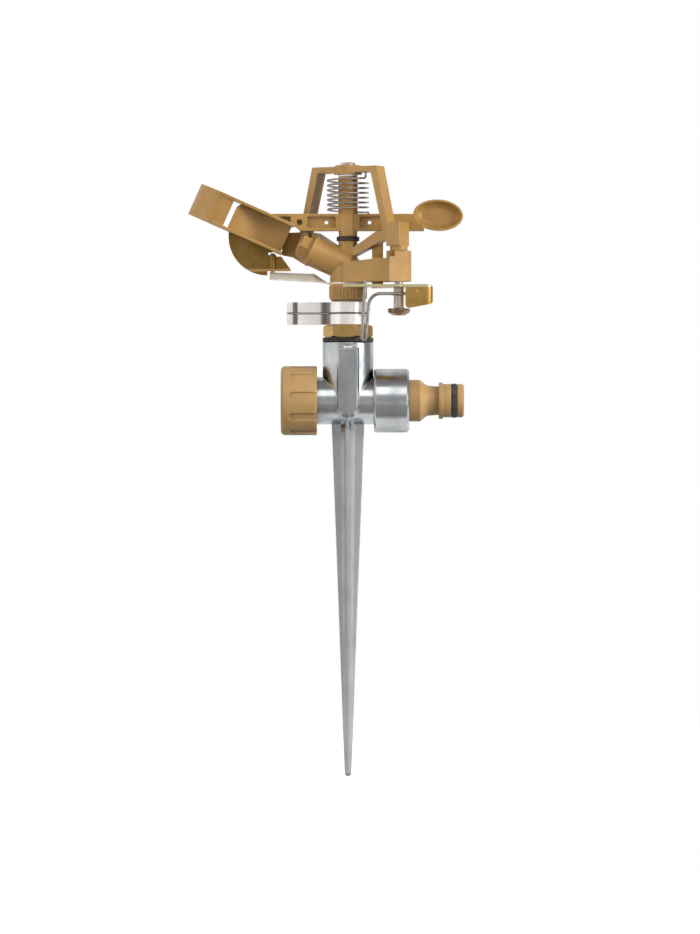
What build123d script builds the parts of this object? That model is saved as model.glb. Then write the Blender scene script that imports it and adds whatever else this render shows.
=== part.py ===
from build123d import *

import os
from math import cos, dist, pi, radians, sin

# Impact sprinkler on a cast ground spike, in millimetres
# Origin on the head's turning axis at ground level, where the spike leaves the tee.
# +Z is up along that axis, +X points to the hose connector and -Y is the front.

# Fits between pieces
RUNNING_GAP = 0.05
SEAT_GAP = 0.02

# Spike: height, half span, half fin thickness and reach of the bevel between fins
SPIKE_STATIONS = [
    (4.2, 8.25, 1.35, 3.5),
    (-66.0, 5.6, 1.25, 2.9),
    (-163.0, 2.05, 0.95, 1.45),
    (-174.3, 1.6, 0.8, 1.15),
    (-175.5, 1.0, 0.5, 0.7),
]
SPIKE_TURN = -3.0
FIN_TIP = 0.65
FIN_ROOT = 1.2

# Tee of the casting
HOSE_Z = 12.0
TUBE_R = 11.85
RISER_R = 12.7
RISER_TOP = 41.3
WATERWAY_R = 6.2
DROP_R = 5.6
SOCKET_R = 15.9
SOCKET_START = 13.0
SOCKET_END = 30.5
INLET_THREAD_R = 10.45
INLET_THREAD_END = 19.0
SPIGOT_R = 13.05
SPIGOT_START = -16.5
SPIGOT_END = -29.0
EDGE_BEVEL = 0.5
PAD_TOP = 38.1
PAD_FACE_Y = -13.4
PAD_ROOT_Y = -7.0
PAD_FACE = (4.7, 8.6, 4.9)
PAD_ROOT = (7.2, 7.0, 3.0)
PAD_RIB_HALF = 2.2

# End cap
CAP_START = -15.5
CAP_END = -33.5
CAP_FLOOR = -31.0
CAP_LOBE_R = 17.25
CAP_ROOT_R = 16.4
CAP_LOBES = 10
CAP_TURN = 11.0
CAP_GROOVE = 4.0
CAP_BAND = 6.2
CAP_BEVEL = 1.2
WASHER = 1.2

# Hose connector, stations along X
COLLAR_R = 10.4
COLLAR_END = 36.0
NECK_START = 40.0
NECK_R = 7.5
NECK_WAIST_R = 7.15
RIDGE_START = 45.4
RIDGE_END = 47.4
RIDGE_R = 9.1
BARREL_R = 8.35
GROOVE_START = 51.4
GROOVE_END = 54.7
GROOVE_R = 7.2
SEAL_R = 8.55
CONNECTOR_END = 57.9
INLET_BORE_R = 5.0

# Bearing between riser and head
BEARING_THREAD_R = 8.3
THREAD_LOW = 33.0
RISER_BORE_LOW = 27.0
HEX_LOW = 43.5
HEX_HIGH = 49.8
HEX_FLATS = 21.6
HEX_TURN = -7.2
HEX_BEVEL = 1.0
SLEEVE_R = 8.5
SLEEVE_TOP = 61.3
SPINDLE_R = 5.5
SPINDLE_BORE_R = 4.2
SPINDLE_LOW = 28.4
FLANGE_TOP = 30.4
FLANGE_R = 7.6
SPINDLE_TOP = 76.0
SLIP_TOP = 31.2

# Friction collars that set the sector
COLLAR_LOWS = {"lower_collar": 50.0, "upper_collar": 55.65}
COLLAR_HEIGHT = 5.5
BAND_OUT_R = 9.8
TAB_REACH = 30.5
HEM_START = 26.3
LEAF = 1.0
LEAF_GAP = 0.5
HEM_SKIN = 0.6

# Skirt under the chamber and the spring inside it
SKIRT_LOW = 61.7
SKIRT_R = 9.0
SKIRT_BORE_R = 7.4
SKIRT_WEB_LOW = 69.0
SKIRT_TOP = 70.2
SKIRT_RIBS = 34
SKIRT_RIB_R = 0.45

# Head casting
CHAMBER_LOW = 71.0
CHAMBER_R = 9.0
SHOULDER_LOW = 79.0
SHOULDER_HIGH = 83.5
POST_R = 4.75
POST_TOP = 91.8
JET_Z = 79.0
JET_RISE = 24.0
BARREL_OUT_R = 7.75
BARREL_END = 20.5
BEAD_R = 8.15
BEAD_START = 18.4
NOZZLE_THREAD_R = 5.0
NOZZLE_SEAT = 12.5
NOZZLE_HEX_R = 5.5
NOZZLE_END = 27.4
NOZZLE_TIP = 1.2
ORIFICE_R = 2.4

# Bridge over the arm, in its own upright plane turned towards the front on the right
BRIDGE_TURN = -30.0
BRIDGE_DEPTH = 8.0
BRIDGE_TOP = 128.9
BAR_LOW = 125.9
BAR_HALF = 18.5
BAR_INNER_HALF = 15.2
FOOT_HALF = 26.8
FOOT_LOW = 91.2
STRUT_DEPTH = 5.0
STRUT_KNEE = 20.5
STRUT_ROOT = (3.5, 83.8)
WINDOW_LOW = 96.2
WINDOW_LOW_HALF = 22.2
WINDOW_KNEE = 17.5
WINDOW_ROOT = (4.0, 88.2)
LEFT_FOOT = [(-36.0, 85.3), (-29.8, 84.1), (-23.0, 80.3), (-12.0, 79.5), (-6.0, 84.0), (-22.0, 94.0),
             (-25.0, 96.6), (-36.0, 96.6)]
ANVIL_X = (-24.0, -20.2)
ANVIL_BACK_Y = 9.0
ANVIL_CLEARANCE = 0.25
BOSS_R = 7.0
BOSS_LOW = 125.0
BOSS_TOP = 129.6
FULCRUM_R = 2.0
FULCRUM_LOW = 86.0
SCREW_HEAD_R = 3.75
SCREW_TOP = 131.0

# Trip pivot on the bridge's right foot
PIVOT_REACH = 29.2
PIVOT = (PIVOT_REACH * cos(radians(BRIDGE_TURN)), PIVOT_REACH * sin(radians(BRIDGE_TURN)))
PIVOT_R = 2.0
UPPER_BLOCK = (24.8, 32.2)
UPPER_BLOCK_DEPTH = 10.0
UPPER_BLOCK_LOW = 88.7
UPPER_BLOCK_TOP = 100.5
KNUCKLE_PLAN = [(-4.9, -6.0), (3.6, -2.2), (5.4, -0.8), (6.2, 1.0), (5.6, 3.4), (3.4, 5.4), (-4.0, 6.0),
                (-6.2, 2.0)]
NOTCH = (3.6, 4.0, 3.0)
BRACKET_PLAN = [(2.5, -9.6), (28.2, -7.3), (28.2, 4.5), (4.0, 3.0)]
BRACKET_DROP = 3.8
BRACKET_ROOT_DROP = 6.0
LEVER_HUB_R = 6.0
PIVOT_WASHER_R = 4.4
KNUCKLE_LOW = 71.0
KNUCKLE_TOP = 86.4
FOOT_PLATE_TOP = 57.6
FOOT_PLATE_LOW = 54.2
FOOT_PLATE_R = 5.75

# Drive arm
ARM_LOW = 96.8
ARM_TOP = 105.3
ARM_DEPTH = 7.0
WEB = 2.4
FLANGE = 1.4
BEAM_END = 38.0
BEAM_SLOPE = (32.0, 47.5)
BEAM_CORNER = 2.2
POCKETS = [(-20.5, -5.9), (5.8, 20.0)]
POCKET_CORNER = 1.2
GUSSET = (-34.8, -28.6, 2.9)
BEAM_EYE = (-24.2, 1.5)
BEAM_HOLES = [(-10.8, 0.9), (10.8, 0.9)]
HUB_R = 4.7
HUB_LOW = 94.1
SLEEVE_ARM_R = 4.9
ARM_SLEEVE_TOP = 123.8
BUSH_R = 3.0
DISH_CENTRE = (45.0, 104.6)
DISH_HALF = (12.5, 7.9)
DISH_RIM = 0.9
DISH_TAPER = 1.8
DISH_FRONT = -3.2
DISH_THICK = 5.6
DISH_HOLLOW = 3.6
DISH_LEAN = -0.05

# Spoon at the jet end of the arm: u along the jet, v to the front, w across
SPOON_START = 33.0
SPOON_END = 84.0
SPOON_HALF = 8.25
PLATE = 1.4
SPOON_BACK = -6.6
VANE = 1.5
SPOON_MOUTH = (SPOON_START, 5.0)
SPOON_BOW = [(62.0, 7.2), (76.8, 4.6), (SPOON_END, SPOON_BACK)]
OUTER_VANE = [(65.2, 7.0), (77.0, 4.4), (SPOON_END, SPOON_BACK + VANE)]
INNER_VANE = [(34.0, -4.6), (49.5, -2.4), (62.8, 6.0)]
LIP_CENTRE = (56.9, 1.75)
LIP_R = 6.5

# Arm spring
ARM_COIL_R = 10.1
ARM_WIRE_R = 0.48
ARM_COIL_LOW = 106.3
ARM_COIL_TOP = 122.9
ARM_COIL_TURNS = 6 + 312 / 360
ARM_COIL_START = 9.0
LEG_BEND_R = 1.6
LEG_HOLE_GAP = 0.2

# Bearing spring
BEARING_COIL_R = 6.45
BEARING_WIRE_R = 0.45
BEARING_COIL_LOW = 62.6
BEARING_COIL_TOP = 68.4
BEARING_COIL_TURNS = 4

# Trip lever and its hairpin
LEVER_LOW = 68.2
LEVER_TOP = 69.6
FLAG_LOW = 57.4
FLAG_LEFT = 28.5
FLAG_RIGHT = 39.0
FLAG_FRONT = -20.4
FLAG_CURL_R = 3.2
FLAG_TAIL = 2.0
FLAG_SLANT = 2.6
FLAG_CORNER = 1.9
FLAG_BUTTON = (34.0, 66.0)
FLAG_BUTTON_R = 1.3
FINGER_PLAN = [(-2.5, -20.4), (-2.5, -16.0), (16.0, -12.0)]
DOG_TOP = 95.6
DOG_X = (12.0, 17.6)
DOG_Y = (1.2, 2.6)
TRIP_WIRE_R = 0.8
EYE_R = 3.5
HAIRPIN_LOW = 42.0
HAIRPIN_TOP = 72.2
RUN_Z = 64.9
HAIRPIN_X = 6.8
HAIRPIN_LEAN = 0.06
HAIRPIN_SPREAD = (1.9, 4.0)
HAIRPIN_BENDS = (0.9, 0.9, 6.0)
EYE_TURN = 290.0
BUSH_OUT_R = 2.6

# Deflector behind the jet
STRIP = 0.8
STRIP_ROOT_WIDTH = 6.0
STRIP_TONGUE = 10.0
STRIP_STATIONS = [
    ((-17.0, 1.4, 73.4), 7.4, 30.0),
    ((-39.2, 5.5, 74.5), 9.0, 22.0),
]
STRIP_END = STRIP_STATIONS[-1][0]
FLAP_PIN = (-37.8, 8.0)
FLAP_PIN_R = 0.9
FLAP_KNUCKLE_R = 1.8
FLAP_KNUCKLE_LOW = 77.4
FLAP_KNUCKLE_TOP = 85.2
FLAP_RIVET_ROOM = 1.2
FLAP_CENTRE = (-40.5, 94.4)
FLAP_R = 19.4
FLAP_TOP = 97.4
FLAP_SHEET = 1.0
FLAP_RIM = 3.2
FLAP_LIP_X = (-43.0, -28.9)
FLAP_LIP_Z = (77.0, 78.2)
FLAP_LIP = 1.7
FLAP_TAIL = [(-28.4, FLAP_KNUCKLE_LOW), (-33.4, FLAP_KNUCKLE_TOP - 0.8)]

UPRIGHT = Rot(0, -90, 0)
ALONG_HOSE = Pos(0, 0, HOSE_Z)
BRIDGE_ANGLE = radians(BRIDGE_TURN)
BRIDGE = Plane(
    origin=(0, 0, 0),
    x_dir=(cos(BRIDGE_ANGLE), sin(BRIDGE_ANGLE), 0),
    z_dir=(sin(BRIDGE_ANGLE), -cos(BRIDGE_ANGLE), 0),
)
BRIDGE_PLAN = Rot(0, 0, BRIDGE_TURN)
JET = Plane(
    origin=(0, 0, JET_Z),
    x_dir=(-cos(radians(JET_RISE)), 0, sin(radians(JET_RISE))),
    z_dir=(sin(radians(JET_RISE)), 0, cos(radians(JET_RISE))),
)
ALONG_JET = JET.location


def rod(radius, low, high, at=(0, 0)):
    """Upright cylinder between two heights."""
    return Pos(at[0], at[1], (low + high) / 2) * Cylinder(radius, high - low)


def ring(outer, inner, low, high, at=(0, 0)):
    """Upright tube between two heights."""
    return rod(outer, low, high, at) - rod(inner, low, high, at)


def block(x_span, y_span, z_span):
    """Box between two limits on each axis."""
    spans = (x_span, y_span, z_span)
    sizes = [abs(high - low) for low, high in spans]
    return Pos(*[(low + high) / 2 for low, high in spans]) * Box(*sizes)


def turned(outline, place):
    """Solid of revolution about the X axis of place, from (station, radius) points."""
    return place * revolve(make_face(Polyline(*outline, close=True)), Axis.X)


def slab(points, plane, depth):
    """Flat polygon on a plane, thickened equally to both sides."""
    return extrude(plane * make_face(Polyline(*points, close=True)), depth / 2, both=True)


def plate(points, low, high):
    """Level polygon between two heights."""
    return extrude(Pos(0, 0, low) * make_face(Polyline(*points, close=True)), high - low)


def mirrored(points):
    """Outline made of the points and their mirror images across the vertical axis."""
    return [*points, *[(-across, up) for across, up in reversed(points)]]


def biarc(start, start_way, end, end_way):
    """Two tangent arcs that join two points with given directions."""
    chord = end - start
    both_ways = start_way + end_way
    bend = 2 * (1 - start_way.dot(end_way))
    reach_by = chord.dot(both_ways)
    reach = (-reach_by + (reach_by**2 + bend * chord.dot(chord)) ** 0.5) / bend
    first, second = start + start_way * reach, end - end_way * reach
    joint = (first + second) * 0.5
    return [
        Edge.make_tangent_arc(start, start_way, joint),
        Edge.make_tangent_arc(joint, (second - first).normalized(), end),
    ]


def helix_edges(radius, low, high, turns, start_angle):
    """Biarcs of a quarter turn along a rising helix."""
    steps = max(4, round(turns * 4))
    sweep = 2 * pi * turns
    climb = (high - low) / sweep

    def place(step):
        angle = radians(start_angle) + sweep * step / steps
        point = Vector(radius * cos(angle), radius * sin(angle), low + climb * sweep * step / steps)
        way = Vector(-radius * sin(angle), radius * cos(angle), climb).normalized()
        return point, way

    edges = []
    for step in range(steps):
        edges += biarc(*place(step), *place(step + 1))
    return edges


def swept(edges, radius):
    """Round wire along joined edges."""
    path = Wire(edges)
    section = Plane(path @ 0, z_dir=path % 0) * Circle(radius)
    return sweep(section, path=path)


def coil_gap(name, wire_radius, radius, low, high, turns):
    """Least gap between neighbouring turns, measured on points one turn apart."""
    count = 72
    rise = (high - low) / (turns * count)

    def point(index):
        angle = 2 * pi * index / count
        return radius * cos(angle), radius * sin(angle), low + rise * index

    nearest = min(dist(point(0), point(index)) for index in range(count // 2, 3 * count // 2))
    print(name, "least gap to itself", round(nearest - 2 * wire_radius, 2), "mm")


def fin_section(height, half_span, half_fin, bevel):
    """Cross of four fins that thin out to their tips, with bevelled inner corners."""
    tip, root = half_fin * FIN_TIP, half_fin * FIN_ROOT
    quarter = [(half_span, -tip), (half_span, tip), (bevel, root), (root, bevel)]
    corners = [Vector(*point).rotate(Axis.Z, 90 * turn) for turn in range(4) for point in quarter]
    return Pos(0, 0, height) * make_face(Polyline(*corners, close=True))


def pad_section(depth, half, shoulder, foot):
    """Pad's outline at a depth: upright sides down to the shoulders and a rounded foot."""
    upper = Polyline((-half, shoulder), (-half, PAD_TOP), (half, PAD_TOP), (half, shoulder))
    lower = ThreePointArc((half, shoulder), (0, foot), (-half, shoulder))
    front = Plane(origin=(0, depth, 0), x_dir=(1, 0, 0), z_dir=(0, -1, 0))
    return front * make_face(upper + lower)


def spike_casting():
    """Zinc tee with its cruciform spike, front pad, socket and capped spigot."""
    spike = Rot(0, 0, SPIKE_TURN) * loft([fin_section(*station) for station in SPIKE_STATIONS], ruled=True)
    riser = turned(
        [
            (HOSE_Z, 0),
            (HOSE_Z, RISER_R),
            (RISER_TOP - EDGE_BEVEL, RISER_R),
            (RISER_TOP, RISER_R - EDGE_BEVEL),
            (RISER_TOP, 0),
        ],
        UPRIGHT,
    )
    tube = turned(
        [
            (SPIGOT_END, 0),
            (SPIGOT_END, SPIGOT_R - 0.8),
            (SPIGOT_END + 0.8, SPIGOT_R),
            (SPIGOT_START, SPIGOT_R),
            (SPIGOT_START, TUBE_R),
            (SOCKET_START, TUBE_R),
            (SOCKET_START, SOCKET_R - 0.7),
            (SOCKET_START + 0.7, SOCKET_R),
            (SOCKET_END - 1.2, SOCKET_R),
            (SOCKET_END, SOCKET_R - 1.0),
            (SOCKET_END, 0),
        ],
        ALONG_HOSE,
    )
    pad = loft([pad_section(PAD_ROOT_Y, *PAD_ROOT), pad_section(PAD_FACE_Y, *PAD_FACE)], ruled=True)
    rib_side = [
        (PAD_ROOT_Y, PAD_TOP),
        (PAD_FACE_Y + EDGE_BEVEL, PAD_TOP),
        (-RISER_R + EDGE_BEVEL, RISER_TOP - EDGE_BEVEL),
        (PAD_ROOT_Y, RISER_TOP - EDGE_BEVEL),
    ]
    rib = slab(rib_side, Plane.YZ, 2 * PAD_RIB_HALF) - rod(RISER_R - 1, PAD_TOP, RISER_TOP)
    riser_bore = rod(BEARING_THREAD_R + RUNNING_GAP, RISER_BORE_LOW, RISER_TOP)
    drop = rod(DROP_R, HOSE_Z, RISER_BORE_LOW)
    across = turned(
        [
            (SPIGOT_END, 0),
            (SPIGOT_END, WATERWAY_R),
            (INLET_THREAD_END, WATERWAY_R),
            (INLET_THREAD_END, INLET_THREAD_R),
            (SOCKET_END, INLET_THREAD_R),
            (SOCKET_END, 0),
        ],
        ALONG_HOSE,
    )
    return spike + riser + tube + pad + rib - riser_bore - drop - across


def end_cap():
    """Screw cap of the through outlet, with broad grip lobes."""
    bore = SPIGOT_R + RUNNING_GAP
    cap = turned(
        [
            (CAP_END, 0),
            (CAP_END, CAP_LOBE_R - CAP_BEVEL),
            (CAP_END + CAP_BEVEL, CAP_LOBE_R),
            (CAP_START - EDGE_BEVEL, CAP_LOBE_R),
            (CAP_START, CAP_LOBE_R - EDGE_BEVEL),
            (CAP_START, bore),
            (CAP_FLOOR, bore),
            (CAP_FLOOR, 0),
        ],
        ALONG_HOSE,
    )
    band = CAP_END + CAP_BAND
    floor_x = (CAP_START + band) / 2
    groove = Pos(floor_x, 0) * Rectangle(CAP_START - band, CAP_GROOVE) + Pos(band, 0) * Circle(CAP_GROOVE / 2)
    cutter = Pos(0, 0, CAP_ROOT_R) * extrude(groove, CAP_GROOVE)
    for turn in range(CAP_LOBES):
        cap -= ALONG_HOSE * Rot(CAP_TURN + 360 * turn / CAP_LOBES, 0, 0) * cutter
    return cap


def end_cap_washer():
    """Flat rubber washer between cap floor and spigot."""
    inner, outer = WATERWAY_R + 1.5, SPIGOT_R - 0.3
    low, high = CAP_FLOOR + SEAT_GAP, SPIGOT_END - 0.1
    return turned([(low, inner), (low, outer), (high, outer), (high, inner)], ALONG_HOSE)


def inlet_connector():
    """Push-on hose connector screwed into the socket."""
    thread = INLET_THREAD_R - RUNNING_GAP
    return turned(
        [
            (INLET_THREAD_END + WASHER, INLET_BORE_R),
            (INLET_THREAD_END + WASHER, thread),
            (COLLAR_END, COLLAR_R),
            (NECK_START - 1.6, NECK_R + 0.8),
            (NECK_START, NECK_R),
            (RIDGE_START, NECK_WAIST_R),
            (RIDGE_START, RIDGE_R),
            (RIDGE_END, RIDGE_R),
            (RIDGE_END, BARREL_R),
            (GROOVE_START, BARREL_R),
            (GROOVE_START, GROOVE_R),
            (GROOVE_END, GROOVE_R),
            (GROOVE_END, BARREL_R),
            (CONNECTOR_END - 0.8, BARREL_R),
            (CONNECTOR_END, BARREL_R - 0.7),
            (CONNECTOR_END, INLET_BORE_R + 0.6),
            (CONNECTOR_END - 1.0, INLET_BORE_R),
        ],
        ALONG_HOSE,
    )


def connector_washer():
    """Rubber washer at the bottom of the inlet thread."""
    outer = INLET_THREAD_R - 0.1
    return turned(
        [
            (INLET_THREAD_END, WATERWAY_R + 0.3),
            (INLET_THREAD_END, outer),
            (INLET_THREAD_END + WASHER, outer),
            (INLET_THREAD_END + WASHER, WATERWAY_R + 0.3),
        ],
        ALONG_HOSE,
    )


def connector_seal():
    """Rounded sealing ring in the connector's groove."""
    low, high, crown = GROOVE_START + 0.15, GROOVE_END - 0.15, 0.6
    return turned(
        [
            (low, GROOVE_R),
            (low, SEAL_R - 0.35),
            (low + crown, SEAL_R),
            (high - crown, SEAL_R),
            (high, SEAL_R - 0.35),
            (high, GROOVE_R),
        ],
        ALONG_HOSE,
    )


def bearing_nipple():
    """Brass nipple: thread into the riser, hexagon, and the sleeve that carries the collars."""
    flats = HEX_FLATS / 2
    hexagon = Pos(0, 0, HEX_LOW) * RegularPolygon(flats, 6, major_radius=False, rotation=HEX_TURN)
    spanner = extrude(hexagon, HEX_HIGH - HEX_LOW)
    bevel = turned(
        [
            (HEX_LOW, 0),
            (HEX_LOW, flats + 0.3),
            (HEX_LOW + HEX_BEVEL, flats + 2),
            (HEX_HIGH - HEX_BEVEL, flats + 2),
            (HEX_HIGH, flats + 0.3),
            (HEX_HIGH, 0),
        ],
        UPRIGHT,
    )
    stem = rod(BEARING_THREAD_R, THREAD_LOW, HEX_LOW) + rod(SLEEVE_R, HEX_HIGH, SLEEVE_TOP)
    return (spanner & bevel) + stem - rod(SPINDLE_R + RUNNING_GAP, THREAD_LOW, SLEEVE_TOP)


def collar(low):
    """Spring-steel band pinched into a double-leaf tab with a hem at its end."""
    inner = SLEEVE_R + RUNNING_GAP
    half_gap = LEAF_GAP / 2
    half_tab = half_gap + LEAF
    leaves = Pos(-(TAB_REACH + inner) / 2, 0) * Rectangle(TAB_REACH - inner, 2 * half_tab)
    band = Circle(BAND_OUT_R) + leaves - Circle(inner)
    roots = band.vertices().filter_by(lambda v: abs(v.Y) > half_gap and BAND_OUT_R - 1 < -v.X < BAND_OUT_R)
    band = fillet(roots, 2.0)
    slot_length = TAB_REACH - 1.2 - inner / 2
    slot = Pos(-(inner / 2 + slot_length / 2), 0) * Rectangle(slot_length, LEAF_GAP)
    hem = Pos(-(TAB_REACH + HEM_START) / 2, 0) * RectangleRounded(
        TAB_REACH - HEM_START, 2 * (half_tab + HEM_SKIN), 1.2
    )
    return extrude(Pos(0, 0, low) * (band + hem - slot), COLLAR_HEIGHT)


def rotating_spindle():
    """Hollow brass spindle with the flange that holds the head down."""
    outline = [
        (SPINDLE_LOW, SPINDLE_BORE_R),
        (SPINDLE_LOW, FLANGE_R),
        (FLANGE_TOP, FLANGE_R),
        (FLANGE_TOP, SPINDLE_R),
        (SPINDLE_TOP, SPINDLE_R),
        (SPINDLE_TOP, SPINDLE_BORE_R),
    ]
    return turned(outline, UPRIGHT)


def bearing_skirt():
    """Ribbed cup that covers the bearing spring."""
    cup = turned(
        [
            (SKIRT_LOW, SKIRT_BORE_R),
            (SKIRT_LOW, SKIRT_R - 0.9),
            (SKIRT_LOW + 0.9, SKIRT_R),
            (SKIRT_TOP, SKIRT_R),
            (SKIRT_TOP, SPINDLE_R + SEAT_GAP),
            (SKIRT_WEB_LOW, SPINDLE_R + SEAT_GAP),
            (SKIRT_WEB_LOW, SKIRT_BORE_R),
        ],
        UPRIGHT,
    )
    ribs = [
        Rot(0, 0, 360 * turn / SKIRT_RIBS) * rod(SKIRT_RIB_R, SKIRT_LOW + 1.4, SKIRT_TOP - 1, (SKIRT_R, 0))
        for turn in range(SKIRT_RIBS)
    ]
    return cup + ribs


def bracket():
    """Web from the chamber's front to the lower trip knuckle."""
    plan = plate(BRACKET_PLAN, KNUCKLE_LOW, KNUCKLE_TOP)
    side = [
        (0, KNUCKLE_LOW),
        (PIVOT_REACH, KNUCKLE_LOW),
        (PIVOT_REACH, KNUCKLE_TOP - BRACKET_DROP),
        (STRUT_KNEE, KNUCKLE_TOP - BRACKET_DROP),
        (0, KNUCKLE_TOP - BRACKET_ROOT_DROP),
    ]
    return (BRIDGE_PLAN * plan) & slab(side, BRIDGE, 4 * BRIDGE_DEPTH)


def bridge():
    """Trapezoid frame over the arm, with its struts, boss, left foot and the arm's stop."""
    outside = mirrored([STRUT_ROOT, (STRUT_KNEE, FOOT_LOW), (FOOT_HALF, FOOT_LOW), (BAR_HALF, BRIDGE_TOP)])
    window = mirrored(
        [WINDOW_ROOT, (WINDOW_KNEE, WINDOW_LOW), (WINDOW_LOW_HALF, WINDOW_LOW), (BAR_INNER_HALF, BAR_LOW)]
    )
    frame = slab(outside, BRIDGE, BRIDGE_DEPTH) - slab(window, BRIDGE, 2 * BRIDGE_DEPTH)
    between_legs = mirrored([(STRUT_KNEE, STRUT_ROOT[1]), (STRUT_KNEE, WINDOW_LOW)])
    frame -= slab(between_legs, BRIDGE, 2 * BRIDGE_DEPTH) - slab(between_legs, BRIDGE, STRUT_DEPTH)
    crown = turned(
        [(BOSS_LOW, 0), (BOSS_LOW, BOSS_R), (BRIDGE_TOP, BOSS_R), (BOSS_TOP, BOSS_R - 0.7), (BOSS_TOP, 0)],
        UPRIGHT,
    )
    foot = slab(LEFT_FOOT, BRIDGE, BRIDGE_DEPTH)
    stop = block(
        ANVIL_X, (ARM_DEPTH / 2 + ANVIL_CLEARANCE, ANVIL_BACK_Y), (ARM_LOW + FLANGE / 2, ARM_TOP - FLANGE / 2)
    )
    return frame + crown + foot + stop


def spring_leg_at(angle):
    """Plan position of a spring leg that stands off the coil's end by the bend radius."""
    reach = (ARM_COIL_R**2 + LEG_BEND_R**2) ** 0.5
    return reach * cos(radians(angle)), reach * sin(radians(angle))


def head_body():
    """Head casting: chamber, inclined barrel, post, bridge and trip bearings."""
    trunk = turned(
        [
            (CHAMBER_LOW, 0),
            (CHAMBER_LOW, CHAMBER_R),
            (SHOULDER_LOW, CHAMBER_R),
            (SHOULDER_HIGH, POST_R),
            (POST_TOP, POST_R),
            (POST_TOP, 0),
        ],
        UPRIGHT,
    )
    barrel = turned(
        [
            (0, 0),
            (0, BARREL_OUT_R),
            (BEAD_START, BARREL_OUT_R),
            (BEAD_START + EDGE_BEVEL, BEAD_R),
            (BARREL_END - EDGE_BEVEL, BEAD_R),
            (BARREL_END, BEAD_R - EDGE_BEVEL),
            (BARREL_END, 0),
        ],
        ALONG_JET,
    )
    upper_block = BRIDGE_PLAN * block(
        UPPER_BLOCK, (-UPPER_BLOCK_DEPTH / 2, UPPER_BLOCK_DEPTH / 2), (UPPER_BLOCK_LOW, UPPER_BLOCK_TOP)
    )
    knuckle = Pos(*PIVOT, 0) * plate(KNUCKLE_PLAN, KNUCKLE_LOW, KNUCKLE_TOP)
    notch_right, notch_back = PIVOT[0] - PIVOT_R, PIVOT[1] - PIVOT_R
    notch = block(
        (notch_right - NOTCH[0], notch_right),
        (notch_back - NOTCH[1] - EDGE_BEVEL, notch_back - EDGE_BEVEL),
        (KNUCKLE_TOP - NOTCH[2], KNUCKLE_TOP),
    )
    water = rod(SPINDLE_R + SEAT_GAP, CHAMBER_LOW, SPINDLE_TOP) + rod(SPINDLE_BORE_R, SPINDLE_TOP, JET_Z)
    water += Pos(0, 0, JET_Z) * Sphere(SPINDLE_BORE_R)
    jet_bore = turned(
        [
            (0, 0),
            (0, SPINDLE_BORE_R),
            (NOZZLE_SEAT, SPINDLE_BORE_R),
            (NOZZLE_SEAT, NOZZLE_THREAD_R + SEAT_GAP),
            (BARREL_END, NOZZLE_THREAD_R + SEAT_GAP),
            (BARREL_END, 0),
        ],
        ALONG_JET,
    )
    pin_hole = rod(PIVOT_R + SEAT_GAP, KNUCKLE_LOW, UPPER_BLOCK_TOP, PIVOT)
    fulcrum_hole = rod(FULCRUM_R + SEAT_GAP, FULCRUM_LOW, BOSS_TOP)
    spring_hole = rod(ARM_WIRE_R + LEG_HOLE_GAP, BOSS_LOW, BRIDGE_TOP - 1, spring_leg_at(BRIDGE_TURN))
    body = trunk + barrel + bridge() + upper_block + knuckle + bracket()
    return body - notch - water - jet_bore - pin_hole - fulcrum_hole - spring_hole


def nozzle():
    """Hexagon nozzle screwed into the barrel."""
    shoulder = NOZZLE_END - NOZZLE_TIP
    hexagon = Plane.YZ * RegularPolygon(NOZZLE_HEX_R, 6, major_radius=False)
    spanner = Pos(BARREL_END, 0, 0) * extrude(hexagon, shoulder - BARREL_END)
    shell = turned(
        [
            (NOZZLE_SEAT + 0.1, 0),
            (NOZZLE_SEAT + 0.1, NOZZLE_THREAD_R),
            (shoulder, NOZZLE_THREAD_R),
            (NOZZLE_END, NOZZLE_THREAD_R - 1),
            (NOZZLE_END, 0),
        ],
        Pos(0, 0, 0),
    )
    bore = turned(
        [
            (NOZZLE_SEAT, 0),
            (NOZZLE_SEAT, SPINDLE_BORE_R),
            (NOZZLE_END - 3, ORIFICE_R),
            (NOZZLE_END, ORIFICE_R),
            (NOZZLE_END, 0),
        ],
        Pos(0, 0, 0),
    )
    return ALONG_JET * (spanner + shell - bore)


def fulcrum_pin():
    """Slotted screw that the arm swings on."""
    screw = turned(
        [
            (FULCRUM_LOW, 0),
            (FULCRUM_LOW, FULCRUM_R),
            (BOSS_TOP, FULCRUM_R),
            (BOSS_TOP, SCREW_HEAD_R),
            (SCREW_TOP - 0.5, SCREW_HEAD_R),
            (SCREW_TOP, SCREW_HEAD_R - 0.6),
            (SCREW_TOP, 0),
        ],
        UPRIGHT,
    )
    return screw - Rot(0, 0, 20) * block((-5, 5), (-0.5, 0.5), (SCREW_TOP - 0.7, SCREW_TOP))


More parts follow.
